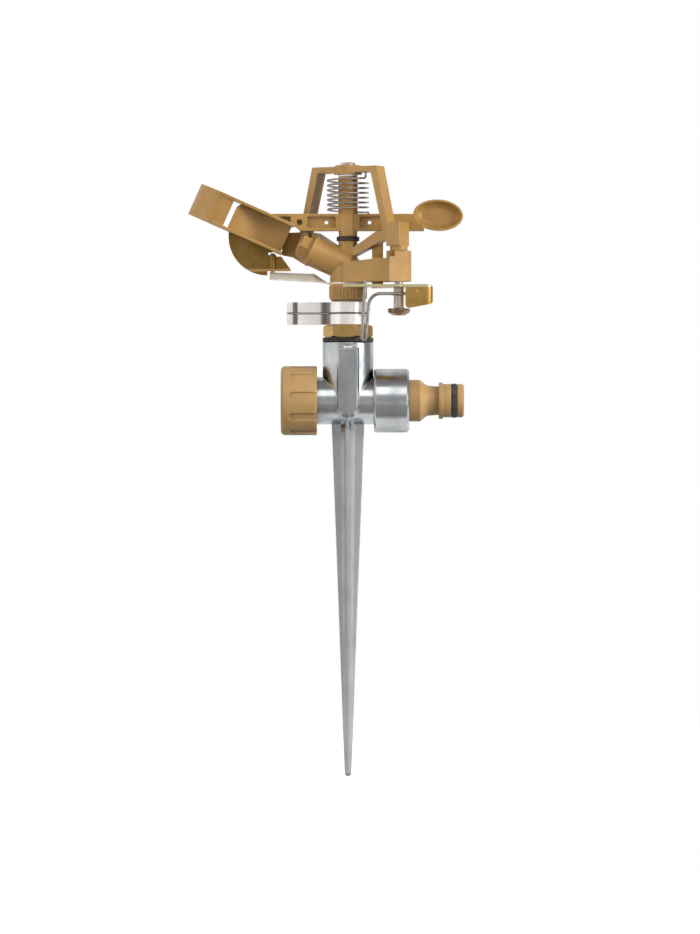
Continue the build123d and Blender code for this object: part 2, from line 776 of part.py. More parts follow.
def beam():
    """Flanged beam of the arm, with recessed webs, hub and light holes."""
    top_line = SPOON_HALF - PLATE / 2
    near, far = [JET.from_local_coords((u, 0, top_line)) for u in BEAM_SLOPE]
    outline = [
        (BEAM_END, ARM_LOW),
        (BEAM_END, ARM_TOP),
        (far.X, ARM_TOP),
        (near.X, near.Z),
        (near.X + BEAM_CORNER, ARM_LOW),
    ]
    solid = slab(outline, Plane.XZ, ARM_DEPTH)
    middle = (ARM_LOW + ARM_TOP) / 2
    high, low = ARM_TOP - FLANGE, ARM_LOW + FLANGE
    recess = (ARM_DEPTH - WEB) / 2
    left, right, drop = GUSSET
    pockets = make_face(Polyline((left, high), (right, high), (right, high - drop), close=True))
    for start, end in POCKETS:
        pockets += Pos((start + end) / 2, middle) * RectangleRounded(end - start, high - low, POCKET_CORNER)
    front = Plane(origin=(0, -ARM_DEPTH / 2, 0), x_dir=(1, 0, 0), z_dir=(0, -1, 0))
    back = Plane(origin=(0, ARM_DEPTH / 2 - recess, 0), x_dir=(1, 0, 0), z_dir=(0, -1, 0))
    eye = Pos(BEAM_EYE[0], middle) * Circle(BEAM_EYE[1])
    cuts = extrude(front * (pockets + eye), -recess) + extrude(back * pockets, -recess)
    holes = [Pos(x, middle) * Circle(radius) for x, radius in BEAM_HOLES]
    return solid - cuts - [extrude(Plane.XZ * hole, ARM_DEPTH, both=True) for hole in holes]


def oval_stack(place, half, insets_and_depths):
    """Loft through ovals, each drawn in from the first by an inset at a depth behind it."""
    ovals = [
        place * (Pos(0, 0, depth) * Ellipse(half[0] - inset, half[1] - inset))
        for inset, depth in insets_and_depths
    ]
    return loft(ovals)


def counterweight_dish():
    """Tapered oval paddle and the bowl that hollows its front."""
    centre_x, centre_z = DISH_CENTRE
    place = Plane(origin=(centre_x, DISH_FRONT, centre_z), x_dir=(1, 0, DISH_LEAN), z_dir=(0, 1, 0))
    paddle = oval_stack(place, DISH_HALF, [(0, 0), (DISH_TAPER, DISH_THICK)])
    hollow = [(0, -0.5), (0.6, DISH_HOLLOW / 3), (3.4, DISH_HOLLOW)]
    bowl = oval_stack(place, DISH_HALF, [(DISH_RIM + inset, depth) for inset, depth in hollow])
    return paddle, bowl


def vane(start, middle, end):
    """Curved blade of even depth on the spoon's plan."""
    front = ThreePointArc(start, middle, end)
    back = Pos(0, -VANE) * front
    sides = Line(front @ 0, back @ 0) + Line(front @ 1, back @ 1)
    return extrude(Pos(0, 0, -SPOON_HALF) * make_face(front + back + sides), 2 * SPOON_HALF)


def spoon():
    """Open box around the jet: two plates, the outer reaction vane and the inner entry vane."""
    bow = ThreePointArc(*SPOON_BOW)
    edges = Polyline(SPOON_BOW[2], (SPOON_START, SPOON_BACK), SPOON_MOUTH, SPOON_BOW[0])
    plan = make_face(bow + edges)
    plates = [Pos(0, 0, low) * extrude(plan, PLATE) for low in (-SPOON_HALF, SPOON_HALF - PLATE)]
    corner = Pos(LIP_CENTRE[0] + LIP_R, LIP_CENTRE[1] + LIP_R) * Rectangle(2 * LIP_R, 2 * LIP_R)
    lip = extrude(Plane.XZ * (corner - Pos(*LIP_CENTRE) * Circle(LIP_R)), SPOON_HALF, both=True)
    return ALONG_JET * (plates[0] + plates[1] + vane(*OUTER_VANE) + (vane(*INNER_VANE) - lip))


def drive_arm():
    """Drive arm: spoon, beam, hub with its long sleeve, and the counterweight."""
    hub = rod(HUB_R, HUB_LOW, ARM_TOP) + rod(SLEEVE_ARM_R, ARM_TOP, ARM_SLEEVE_TOP)
    paddle, bowl = counterweight_dish()
    body = beam() + spoon() + hub + paddle - bowl
    spring_hole = rod(ARM_WIRE_R + LEG_HOLE_GAP, ARM_TOP - FLANGE, ARM_TOP, spring_leg_at(0))
    return body - spring_hole - rod(BUSH_R + SEAT_GAP, HUB_LOW, ARM_SLEEVE_TOP)


def arm_spring():
    """Torsion spring: a right-hand coil with a leg down into the arm and a leg up into the bridge."""
    size = (ARM_COIL_R, ARM_COIL_LOW, ARM_COIL_TOP, ARM_COIL_TURNS)
    coil = helix_edges(*size, ARM_COIL_START)
    low, high = coil[0], coil[-1]
    down_way, up_way = low % 0, high % 1
    low_corner = (low @ 0) - down_way * LEG_BEND_R - Vector(0, 0, LEG_BEND_R)
    high_corner = (high @ 1) + up_way * LEG_BEND_R + Vector(0, 0, LEG_BEND_R)
    low_bend = Edge.make_tangent_arc(low @ 0, down_way * -1, low_corner)
    low_bend = Edge.make_three_point_arc(low_corner, low_bend @ 0.5, low @ 0)
    high_bend = Edge.make_tangent_arc(high @ 1, up_way, high_corner)
    low_end = Vector(low_corner.X, low_corner.Y, ARM_TOP - FLANGE + LEG_HOLE_GAP)
    high_end = Vector(high_corner.X, high_corner.Y, BAR_LOW + LEG_BEND_R)
    low_leg = Edge.make_line(low_end, low_corner)
    high_leg = Edge.make_line(high_corner, high_end)
    coil_gap("arm_spring", ARM_WIRE_R, *size)
    return swept([low_leg, low_bend, *coil, high_bend, high_leg], ARM_WIRE_R)


def bearing_spring():
    """Compression spring that lifts the head against its seal."""
    size = (BEARING_COIL_R, BEARING_COIL_LOW, BEARING_COIL_TOP, BEARING_COIL_TURNS)
    coil_gap("bearing_spring", BEARING_WIRE_R, *size)
    return swept(helix_edges(*size, 0), BEARING_WIRE_R)


def trip_pin():
    """Riveted pivot pin of the trip lever, with its mushroom foot."""
    return turned(
        [
            (FOOT_PLATE_LOW, 0),
            (FOOT_PLATE_LOW, FOOT_PLATE_R - 2.9),
            (FOOT_PLATE_LOW + 1.1, FOOT_PLATE_R - 0.7),
            (FOOT_PLATE_LOW + 2.5, FOOT_PLATE_R),
            (FOOT_PLATE_TOP, FOOT_PLATE_R - 0.5),
            (FOOT_PLATE_TOP, PIVOT_R),
            (UPPER_BLOCK_TOP - EDGE_BEVEL, PIVOT_R),
            (UPPER_BLOCK_TOP - EDGE_BEVEL, 0),
        ],
        Pos(*PIVOT, 0) * UPRIGHT,
    )


def trip_lever():
    """Stamped lever: hub, finger with the hairpin, upright dog and bent-down flag."""
    hub_x, hub_y = PIVOT
    sheet = LEVER_TOP - LEVER_LOW
    hub = rod(LEVER_HUB_R, LEVER_LOW, LEVER_TOP, PIVOT)
    finger_plan = [(hub_x, hub_y - LEVER_HUB_R), *FINGER_PLAN, (hub_x, hub_y + LEVER_HUB_R / 2)]
    finger = plate(finger_plan, LEVER_LOW, LEVER_TOP)
    dog_foot_plan = [
        (hub_x - LEVER_HUB_R, hub_y),
        (DOG_X[0], DOG_Y[0] - 2 * sheet),
        (DOG_X[0], DOG_Y[1]),
        (DOG_X[1], DOG_Y[1]),
        (hub_x, hub_y + LEVER_HUB_R),
    ]
    dog_foot = plate(dog_foot_plan, LEVER_LOW, LEVER_TOP)
    dog = block(DOG_X, DOG_Y, (LEVER_LOW, DOG_TOP))
    curl_y = FLAG_FRONT + FLAG_CURL_R
    wing_plan = [
        (hub_x, FLAG_FRONT),
        (FLAG_RIGHT, FLAG_FRONT),
        (FLAG_RIGHT, curl_y),
        (hub_x, hub_y + LEVER_HUB_R),
    ]
    wing = plate(wing_plan, LEVER_LOW, LEVER_TOP)
    curl = ring(FLAG_CURL_R, FLAG_CURL_R - sheet, FLAG_LOW, LEVER_TOP, (FLAG_RIGHT, curl_y))
    rolled = FLAG_RIGHT + FLAG_CURL_R
    curl &= block((FLAG_RIGHT, rolled), (FLAG_FRONT, curl_y), (FLAG_LOW, LEVER_TOP))
    face = block((FLAG_LEFT, FLAG_RIGHT), (FLAG_FRONT, FLAG_FRONT + sheet), (FLAG_LOW, LEVER_TOP))
    tail = block((rolled - sheet, rolled), (curl_y, curl_y + FLAG_TAIL), (FLAG_LOW, LEVER_TOP))
    button = Pos(FLAG_BUTTON[0], FLAG_FRONT + sheet / 2, FLAG_BUTTON[1]) * Sphere(FLAG_BUTTON_R)
    flag = (face + curl + tail) & flag_outline(rolled)
    lever = hub + finger + dog_foot + dog + wing + flag + button
    wire_hole = rod(TRIP_WIRE_R + 0.3, LEVER_LOW, LEVER_TOP, (hairpin_x(LEVER_TOP), hub_y - EYE_R))
    return lever - wire_hole - rod(PIVOT_R + RUNNING_GAP, LEVER_LOW, LEVER_TOP, PIVOT)


def flag_outline(right):
    """Flag seen from the front: a slanted foot and rounded corners on its free side."""
    outline = make_face(
        Polyline(
            (FLAG_LEFT, FLAG_LOW),
            (right, FLAG_LOW + FLAG_SLANT),
            (right, LEVER_TOP),
            (FLAG_LEFT, LEVER_TOP),
            close=True,
        )
    )
    free_corners = outline.vertices().filter_by(lambda v: v.X > FLAG_RIGHT or v.Y < FLAG_LOW + EDGE_BEVEL)
    return extrude(Plane.XZ * fillet(free_corners, FLAG_CORNER), 2 * TAB_REACH, both=True)


def hairpin_x(height):
    """Place of the hairpin's straight leg at a height."""
    return HAIRPIN_X + (height - HAIRPIN_LOW) * HAIRPIN_LEAN


def trip_bush():
    """Sleeve that spaces the lever from the pin's foot."""
    return ring(BUSH_OUT_R, PIVOT_R + RUNNING_GAP, FOOT_PLATE_TOP + 0.2, LEVER_LOW, PIVOT)


def trip_wire():
    """Hairpin that meets the collar tabs, with an eye round the bush."""
    hub_x, hub_y = PIVOT
    front = hub_y - EYE_R
    foot = hairpin_x(HAIRPIN_LOW)
    corners = [
        (hairpin_x(HAIRPIN_TOP), front, HAIRPIN_TOP),
        (foot, front, HAIRPIN_LOW),
        (foot + HAIRPIN_SPREAD[0], front, HAIRPIN_LOW),
        (foot + HAIRPIN_SPREAD[1], front, RUN_Z),
        (hub_x, front, RUN_Z),
    ]
    legs = FilletPolyline(*corners, radius=HAIRPIN_BENDS)

    def around(turn):
        return hub_x + EYE_R * sin(radians(turn)), hub_y - EYE_R * cos(radians(turn)), RUN_Z

    eye = Edge.make_three_point_arc(around(0), around(EYE_TURN / 2), around(EYE_TURN))
    return swept([*legs.edges(), eye], TRIP_WIRE_R)


def strip_section(centre, width, roll):
    """Thin upright section of the strip, rolled so that its back edge is the higher."""
    return Pos(*centre) * Rot(roll, 0, 0) * (Plane.YZ * Rectangle(width, STRIP))


def deflector_strip():
    """Steel strip clamped under the chamber, widening and twisting to the flap's pin."""
    seat = (SKIRT_TOP + CHAMBER_LOW) / 2
    tongue = Pos(-STRIP_TONGUE / 2, 0) * Rectangle(STRIP_TONGUE, STRIP_ROOT_WIDTH)
    seat_plan = Circle(CHAMBER_R) + tongue - Circle(SPINDLE_R + SEAT_GAP)
    clamp = extrude(Pos(0, 0, SKIRT_TOP) * seat_plan, STRIP)
    root = strip_section((-STRIP_TONGUE, 0, seat), STRIP_ROOT_WIDTH, 0)
    arm = loft([root, *[strip_section(*station) for station in STRIP_STATIONS]], ruled=True)
    return clamp + arm - rod(FLAP_PIN_R + SEAT_GAP, STRIP_END[2] - 6, FLAP_KNUCKLE_TOP, FLAP_PIN)


def deflector_pin():
    """Rivet that the flap swings on."""
    return turned(
        [
            (STRIP_END[2] - 0.9, 0),
            (STRIP_END[2] - 0.9, FLAP_PIN_R),
            (FLAP_KNUCKLE_TOP + 0.2, FLAP_PIN_R),
            (FLAP_KNUCKLE_TOP + 0.2, FLAP_KNUCKLE_R - 0.3),
            (FLAP_KNUCKLE_TOP + 0.8, FLAP_PIN_R),
            (FLAP_KNUCKLE_TOP + 0.8, 0),
        ],
        Pos(*FLAP_PIN, 0) * UPRIGHT,
    )


def deflector_flap():
    """Hinged sheet with a quarter-round lower edge, a rim, a rolled knuckle and a short tail."""
    pin_x, pin_y = FLAP_PIN
    middle_x, middle_z = FLAP_CENTRE
    diagonal = FLAP_R * cos(pi / 4)
    left = middle_x - FLAP_R
    lower = ThreePointArc(
        (left, middle_z), (middle_x - diagonal, middle_z - diagonal), (middle_x, middle_z - FLAP_R)
    )
    edge = Polyline(
        (middle_x, middle_z - FLAP_R),
        (middle_x, FLAP_KNUCKLE_LOW),
        (pin_x, FLAP_KNUCKLE_LOW),
        (pin_x, FLAP_TOP),
        (left, FLAP_TOP),
        (left, middle_z),
    )
    sheet = make_face(lower + edge)
    front = Plane(origin=(0, pin_y - FLAP_SHEET / 2, 0), x_dir=(1, 0, 0), z_dir=(0, -1, 0))
    panel = extrude(front * sheet, -FLAP_SHEET)
    rim_ring = Pos(middle_x, middle_z) * (Circle(FLAP_R) - Circle(FLAP_R - FLAP_SHEET))
    rim_ring &= Pos(middle_x - FLAP_R / 2, middle_z - FLAP_R / 2) * Rectangle(FLAP_R, FLAP_R)
    rim = extrude(front * rim_ring, -FLAP_RIM)
    tail_outline = [(pin_x, FLAP_KNUCKLE_LOW), *FLAP_TAIL, (pin_x, FLAP_TAIL[1][1])]
    tail = extrude(front * make_face(Polyline(*tail_outline, close=True)), -FLAP_SHEET)
    lip = block(FLAP_LIP_X, (pin_y - FLAP_SHEET / 2 - FLAP_LIP, pin_y), FLAP_LIP_Z)
    clear = rod(FLAP_KNUCKLE_R + 0.4, FLAP_KNUCKLE_TOP, FLAP_KNUCKLE_TOP + FLAP_RIVET_ROOM, FLAP_PIN)
    knuckle = rod(FLAP_KNUCKLE_R, FLAP_KNUCKLE_LOW, FLAP_KNUCKLE_TOP, FLAP_PIN)
    bore = rod(FLAP_PIN_R + RUNNING_GAP, FLAP_LIP_Z[0], FLAP_KNUCKLE_TOP, FLAP_PIN)
    return panel + rim + tail + lip - clear + knuckle - bore


pieces = {
    "spike_casting": spike_casting(),
    "end_cap": end_cap(),
    "end_cap_washer": end_cap_washer(),
    "inlet_connector": inlet_connector(),
    "connector_washer": connector_washer(),
    "connector_seal": connector_seal(),
    "riser_washer": ring(RISER_R, BEARING_THREAD_R + SEAT_GAP, RISER_TOP, HEX_LOW),
    "bearing_nipple": bearing_nipple(),
    "rotating_spindle": rotating_spindle(),
    "slip_washer": ring(FLANGE_R, SPINDLE_R + SEAT_GAP, FLANGE_TOP, SLIP_TOP),
    "seal_washer": ring(FLANGE_R, SPINDLE_R + SEAT_GAP, SLIP_TOP, THREAD_LOW - 0.1),
    "spring_seat": ring(SKIRT_BORE_R - 0.2, SPINDLE_R + SEAT_GAP, SLEEVE_TOP + 0.1, SLEEVE_TOP + 0.7),
    "bearing_spring": bearing_spring(),
    "bearing_skirt": bearing_skirt(),
    "head_body": head_body(),
    "nozzle": nozzle(),
    "fulcrum_pin": fulcrum_pin(),
    "arm_washer": ring(POST_R + 0.95, FULCRUM_R + RUNNING_GAP, POST_TOP, HUB_LOW - 0.2),
    "top_washer": ring(SLEEVE_ARM_R - 0.2, FULCRUM_R + RUNNING_GAP, ARM_SLEEVE_TOP + 0.2, BOSS_LOW),
    "drive_arm": drive_arm(),
    "arm_bush": ring(BUSH_R, FULCRUM_R + RUNNING_GAP, HUB_LOW, ARM_SLEEVE_TOP),
    "arm_spring": arm_spring(),
    "pivot_washer": ring(PIVOT_WASHER_R, PIVOT_R + SEAT_GAP, KNUCKLE_TOP, UPPER_BLOCK_LOW, PIVOT),
    "trip_pin": trip_pin(),
    "trip_lever": trip_lever(),
    "trip_bush": trip_bush(),
    "trip_wire": trip_wire(),
    "deflector_strip": deflector_strip(),
    "deflector_pin": deflector_pin(),
    "deflector_flap": deflector_flap(),
}
pieces |= {name: collar(low) for name, low in COLLAR_LOWS.items()}

os.makedirs("parts", exist_ok=True)
for name, piece in pieces.items():
    export_step(piece, f"parts/{name}.step")
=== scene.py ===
import math

import bpy
import numpy as np
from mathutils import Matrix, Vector


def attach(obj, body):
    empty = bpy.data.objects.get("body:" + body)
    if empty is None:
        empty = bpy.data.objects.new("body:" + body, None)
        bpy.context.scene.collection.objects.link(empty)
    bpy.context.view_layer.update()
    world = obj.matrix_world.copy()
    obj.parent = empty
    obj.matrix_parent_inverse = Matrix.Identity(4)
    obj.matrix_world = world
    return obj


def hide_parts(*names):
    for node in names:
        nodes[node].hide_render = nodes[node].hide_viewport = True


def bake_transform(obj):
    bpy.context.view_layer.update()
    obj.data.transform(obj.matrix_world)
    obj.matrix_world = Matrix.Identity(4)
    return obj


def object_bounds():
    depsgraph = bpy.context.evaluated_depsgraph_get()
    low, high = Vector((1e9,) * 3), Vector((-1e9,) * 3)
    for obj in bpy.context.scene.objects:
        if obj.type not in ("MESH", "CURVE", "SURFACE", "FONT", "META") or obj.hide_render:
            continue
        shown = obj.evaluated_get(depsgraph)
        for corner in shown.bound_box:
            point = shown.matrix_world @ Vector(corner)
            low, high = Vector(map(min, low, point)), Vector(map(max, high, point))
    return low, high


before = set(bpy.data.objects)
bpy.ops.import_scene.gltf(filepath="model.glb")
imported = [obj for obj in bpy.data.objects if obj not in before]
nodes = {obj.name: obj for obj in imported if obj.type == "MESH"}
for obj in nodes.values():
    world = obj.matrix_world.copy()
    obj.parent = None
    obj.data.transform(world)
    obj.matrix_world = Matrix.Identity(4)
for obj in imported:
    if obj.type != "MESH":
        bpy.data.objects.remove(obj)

cad_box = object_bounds()

# Lengths are in metres and angles in degrees, if a name doesn't say otherwise.

# Camera: straight from the front, from far away, with the photograph's framing.
IMAGE_HEIGHT = 0.467
CAMERA_DISTANCE = 2.5
CAMERA_REACH = 50.0
VIEW_CENTRE = (0.001, 0.0, -0.02115)
SENSOR_MM = 36.0

# Paper: a floor just under the spike's tip that bends up to a wall. It holds a shadow up to the first
# distance of SHADOW_REACH from the tip, and is plain white beyond the second.
FLOOR_GAP = 0.0004
FLOOR_Z = cad_box[0][2] - FLOOR_GAP
FLOOR_HALF_WIDTH = 5.0
FLOOR_FRONT = -6.0
FLOOR_BACK = 2.2
WALL_BEND_R = 1.2
WALL_BEND_STEPS = 24
WALL_TOP = 5.0
SHADOW_REACH = (0.15, 0.5)
PAPER_SHINE = 0.6
PAPER_LIT = 0.55
PAPER_BOUNCE = 0.16

# How bright the floor looks in reflections: (place along Y, level).
FLOOR_LEVELS = ((-1.2, 0.4), (-0.3, 0.1), (-0.12, 0.04), (-0.06, 0.62), (0.3, 0.75))

# How bright the room looks in reflections: (angle from the front, level), to the left below 0 and to the
# right above, times (rise of the way it is seen, factor), from level to straight up. The glow is the
# even light that it gives to everything else.
ROOM_LEVELS = (
    (-180, 1.0), (-92, 1.0), (-55, 0.93), (-40, 0.55), (-15, 0.42), (0, 0.44), (14, 0.6), (30, 0.97),
    (46, 1.0), (74, 1.0), (84, 0.28), (140, 0.28), (160, 1.0), (180, 1.0),
)
ROOM_RISE = ((0.0, 0.92), (0.3, 1.0), (0.7, 1.0), (0.86, 0.55), (1.0, 0.46))
ROOM_GLOW = 0.08

# Square lamps that face LAMP_AIM: (name, place, side, watts, whether shiny surfaces show it).
LAMP_AIM = (0.0, 0.0, 0.03)
LAMPS = (
    ("key_box", (1.4, -0.75, 0.4), 0.95, 39.5, False),
    ("card_box", (0.7, -0.4, 0.03), 0.4, 0.65, True),
    ("fill_box", (-1.5, -0.8, 0.4), 0.9, 22.0, False),
    ("back_box", (-0.9, 1.7, 0.8), 0.9, 18.0, False),
    ("top_box", (0.1, 0.0, 1.5), 1.0, 8.0, False),
    ("front_box", (-0.5, -2.2, 0.1), 0.8, 11.0, False),
    ("high_box", (0.2, -1.6, 1.2), 1.0, 4.0, True),
)

# Where a finish changes along a piece: heights between which it fades, or the middle of a band.
SPIKE_TOP = (-0.006, 0.0)
# COLLAR_FOLD_X and COLLAR_ROOT_X are the middles of painted shade bands, the collars' meeting height is a
# painted shadow line, and LEVER_EDGE_Z and FLAP_LIP_Z place painted highlights.
COLLAR_FOLD_X = -0.0264
COLLAR_ROOT_X = -0.0112
COLLAR_GAP_Z = 0.05558
PIN_FOOT = (0.0572, 0.0586)
LEVER_EDGE_Z = 0.0689
FLAP_LIP_Z = 0.0775

# The lines that a tool leaves in metal, and how open a corner is where it gets the most painted shade.
LINE_SIZE = 0.0008
LINE_DEPTH = 0.000001
SHADED_CORNER = 0.15

# The arm's torsion spring.
COIL_R = 0.0101
COIL_WIRE_R = 0.00048
COIL_WIRE_SIDES = 14
COIL_LOW = 0.1063
COIL_TOP = 0.1229
COIL_TURNS = 6 + 312 / 360
COIL_START = 9.0
COIL_STEPS = 420
LEG_BEND_R = 0.0016
LEG_BEND_STEPS = 12
LEG_RUN_STEPS = 6
LOW_LEG_END = 0.1041
HIGH_LEG_END = 0.1275

# The spring inside the bearing skirt.
BEARING_COIL_R = 0.00645
BEARING_WIRE_R = 0.00045
BEARING_WIRE_SIDES = 10
BEARING_COIL_LOW = 0.0626
BEARING_COIL_TOP = 0.0684
BEARING_COIL_TURNS = 4
BEARING_COIL_STEPS = 200


def screen(red, green, blue):
    """A colour given as 0 to 255 screen values, as the linear colour that a shader takes."""
    values = np.array([red, green, blue]) / 255.0
    straight = np.where(values <= 0.04045, values / 12.92, ((values + 0.055) / 1.055) ** 2.4)
    return (*straight.tolist(), 1.0)


def grey(level):
    """A linear grey."""
    return (level, level, level, 1.0)


def darker(colour, share):
    """A colour with only a share of its light."""
    return (*(share * part for part in colour[:3]), 1.0)


class Graph:
    """The nodes of a material or of the room's light, and the links between them."""

    def __init__(self, tree):
        self.tree = tree

    def add(self, kind, **settings):
        """A new node with its settings."""
        node = self.tree.nodes.new(kind)
        for name, value in settings.items():
            setattr(node, name, value)
        return node

    def feed(self, node, socket, value):
        """A node's named or numbered input, linked to an output or set to a constant."""
        if isinstance(value, bpy.types.NodeSocket):
            self.tree.links.new(value, node.inputs[socket])
        else:
            node.inputs[socket].default_value = value

    def math(self, operation, *values):
        """A sum with one or two values, each an output or a number."""
        node = self.add("ShaderNodeMath", operation=operation)
        for socket, value in enumerate(values):
            self.feed(node, socket, value)
        return node.outputs[0]

    def axes(self, vector):
        """The three parts of a vector."""
        parts = self.add("ShaderNodeSeparateXYZ")
        self.feed(parts, 0, vector)
        return parts.outputs

    def span(self, factor, low, high, start=0.3, end=0.7, course="SMOOTHSTEP"):
        """A factor taken from start..end to low..high."""
        node = self.add("ShaderNodeMapRange", interpolation_type=course)
        self.feed(node, "Value", factor)
        for socket, value in (("From Min", start), ("From Max", end), ("To Min", low), ("To Max", high)):
            self.feed(node, socket, value)
        return node.outputs["Result"]

    def tint(self, factor, *stops):
        """A colour picked by a factor from (position, colour) stops."""
        ramp = self.add("ShaderNodeValToRGB")
        self.feed(ramp, "Fac", factor)
        elements = ramp.color_ramp.elements
        while len(elements) < len(stops):
            elements.new(0.5)
        for element, (position, colour) in zip(elements, stops):
            element.position = position
            element.color = colour
        return ramp.outputs["Color"]

    def level(self, value, stops):
        """A grey read off (place, level) stops at a value's place."""
        start, end = stops[0][0], stops[-1][0]
        share = self.span(value, 0.0, 1.0, start, end, "LINEAR")
        return self.tint(share, *(((place - start) / (end - start), grey(level)) for place, level in stops))

    def pick(self, factor, first, second):
        """One value where a factor is 0 and the other where it is 1."""
        node = self.add("ShaderNodeMix")
        for socket, value in ((0, factor), (2, first), (3, second)):
            self.feed(node, socket, value)
        return node.outputs[0]

    def plain(self, kind, level):
        """A shader of one even grey."""
        node = self.add(kind)
        self.feed(node, "Color", grey(level))
        return node.outputs[0]

    def layer(self, factor, first, second):
        """One shader where a factor is 0 and the other where it is 1."""
        node = self.add("ShaderNodeMixShader")
        for socket, value in enumerate((factor, first, second)):
            self.feed(node, socket, value)
        return node.outputs[0]


class Finish(Graph):
    """A material on Object coordinates, put together from a few kinds of step."""

    def __init__(self, name, **constants):
        self.material = bpy.data.materials.new(name)
        self.material.use_nodes = True
        super().__init__(self.material.node_tree)
        self.shader = self.tree.nodes["Principled BSDF"]
        for socket, value in constants.items():
            self.feed(self.shader, socket.replace("_", " "), value)
        self.place = self.add("ShaderNodeTexCoord").outputs["Object"]

    def grain(self, size, detail=3.0, stretch=(1.0, 1.0, 1.0)):
        """Cloudy noise whose patches are about size across, longer where stretch is over 1."""
        mapping = self.add("ShaderNodeMapping")
        self.feed(mapping, "Vector", self.place)
        self.feed(mapping, "Scale", [1.0 / (size * s) for s in stretch])
        noise = self.add("ShaderNodeTexNoise")
        self.feed(noise, "Vector", mapping.outputs["Vector"])
        self.feed(noise, "Scale", 1.0)
        self.feed(noise, "Detail", detail)
        return noise.outputs["Fac"]

    def tool_lines(self, stretch):
        """Very fine lines along the tool's path, which is where stretch is highest."""
        return self.grain(LINE_SIZE, 1.0, stretch)

    def mix(self, factor, first, second):
        """Two colours mixed by a factor; the second may be a plain colour."""
        node = self.add("ShaderNodeMix", data_type="RGBA")
        for socket, value in ((0, factor), (6, first), (7, second)):
            self.feed(node, socket, value)
        return node.outputs[2]

    def corner_shade(self, reach, most=0.7, unshaded=0.7):
        """How much painted shade a point gets: most in corners within reach, and 0 in the open."""
        node = self.add("ShaderNodeAmbientOcclusion", samples=8)
        self.feed(node, "Distance", reach)
        return self.span(node.outputs["AO"], most, 0.0, SHADED_CORNER, unshaded)

    def rounded(self, radius):
        """Normals as if the edges were rounded."""
        node = self.add("ShaderNodeBevel", samples=6)
        self.feed(node, "Radius", radius)
        return node.outputs["Normal"]

    def edges(self, radius):
        """How far a rounded normal leans from the flat one: 0 on a face, higher along an edge."""
        dot = self.add("ShaderNodeVectorMath", operation="DOT_PRODUCT")
        self.feed(dot, 0, self.rounded(radius))
        self.feed(dot, 1, self.add("ShaderNodeNewGeometry").outputs["Normal"])
        return self.span(dot.outputs["Value"], 1.0, 0.0, 0.8, 1.0)

    def band(self, coordinate, middle, half, fade):
        """1 within half of the middle of a coordinate, falling to 0 at the distance fade."""
        away = self.math("SUBTRACT", coordinate, middle)
        return self.span(self.math("ABSOLUTE", away), 1.0, 0.0, half, fade)

    def upright(self):
        """1 where a face stands upright, 0 where it lies flat."""
        normal = self.add("ShaderNodeNewGeometry").outputs["Normal"]
        return self.span(self.math("ABSOLUTE", self.axes(normal)["Z"]), 1.0, 0.0)

    def colour(self, source):
        self.feed(self.shader, "Base Color", source)

    def rough(self, source):
        self.feed(self.shader, "Roughness", source)

    def relief(self, edge, *layers):
        """Softened edges under layers of (factor, depth)."""
        normal = self.rounded(edge)
        for factor, depth in layers:
            bump = self.add("ShaderNodeBump")
            self.feed(bump, "Distance", depth)
            self.feed(bump, "Height", factor)
            self.feed(bump, "Normal", normal)
            normal = bump.outputs["Normal"]
        self.feed(self.shader, "Normal", normal)


def moulded(name, body, shade, worn, roughness, edge, shine, flake):
    """Satin moulded plastic: cloudy flow, fine skin, painted shade in the corners and paler worn edges;
    flake is the share of metal-like pigment."""
    finish = Finish(name, Specular_IOR_Level=shine, Metallic=flake)
    flow = finish.grain(0.012, 3.0, (1.0, 1.0, 1.8))
    skin = finish.grain(0.0006, 2.0)
    wear = finish.grain(0.003, 4.0)
    colour = finish.tint(flow, (0.3, shade), (0.7, body))
    colour = finish.mix(finish.corner_shade(0.003), colour, darker(shade, 0.3))
    rub = finish.math("MULTIPLY", finish.edges(0.0006), finish.span(wear, 0.1, 0.75, 0.35, 0.65))
    finish.colour(finish.mix(rub, colour, worn))
    finish.rough(finish.span(wear, roughness - 0.05, roughness + 0.07))
    finish.relief(edge, (skin, 0.00001), (flow, 0.0001))
    return finish.material


def cast_zinc():
    """Die-cast zinc: bright skin, dull cloudy patches, fine pits, faint flow lines and painted shade in the
    corners. The spike is left dull and the tee above it is burnished."""
    finish = Finish("cast_zinc")
    patch = finish.grain(0.011, 5.0, (1.0, 1.0, 1.6))
    pits = finish.grain(0.0007, 3.0)
    flow = finish.grain(0.004, 3.0, (1.0, 1.0, 3.5))
    height = finish.axes(finish.place)["Z"]
    colour = finish.tint(patch, (0.3, screen(172, 176, 178)), (0.7, screen(218, 220, 222)))
    colour = finish.mix(finish.span(height, 0.7, 0.0, *SPIKE_TOP), colour, screen(150, 151, 153))
    finish.colour(finish.mix(finish.corner_shade(0.005, 0.75, 0.75), colour, screen(72, 74, 78)))
    finish.feed(finish.shader, "Metallic", finish.span(height, 0.5, 1.0, *SPIKE_TOP))
    dull = finish.span(height, 0.2, 0.0, *SPIKE_TOP)
    finish.rough(finish.math("ADD", finish.span(patch, 0.3, 0.14), dull))
    finish.relief(0.0008, (pits, 0.000008), (flow, 0.00003))
    return finish.material


def machined(name, bright, dull, roughness, stretch, edge=0.0003):
    """Turned or drawn metal: very fine lines along the tool's path, a little tarnish and painted shade in
    corners.
    """
    finish = Finish(name, Metallic=1.0)
    lines = finish.tool_lines(stretch)
    tarnish = finish.grain(0.006, 4.0)
    colour = finish.tint(tarnish, (0.3, dull), (0.7, bright))
    finish.colour(finish.mix(finish.corner_shade(0.0025), colour, darker(dull, 0.25)))
    finish.rough(finish.span(lines, roughness - 0.03, roughness + 0.04))
    finish.relief(edge, (lines, LINE_DEPTH))
    return finish.material


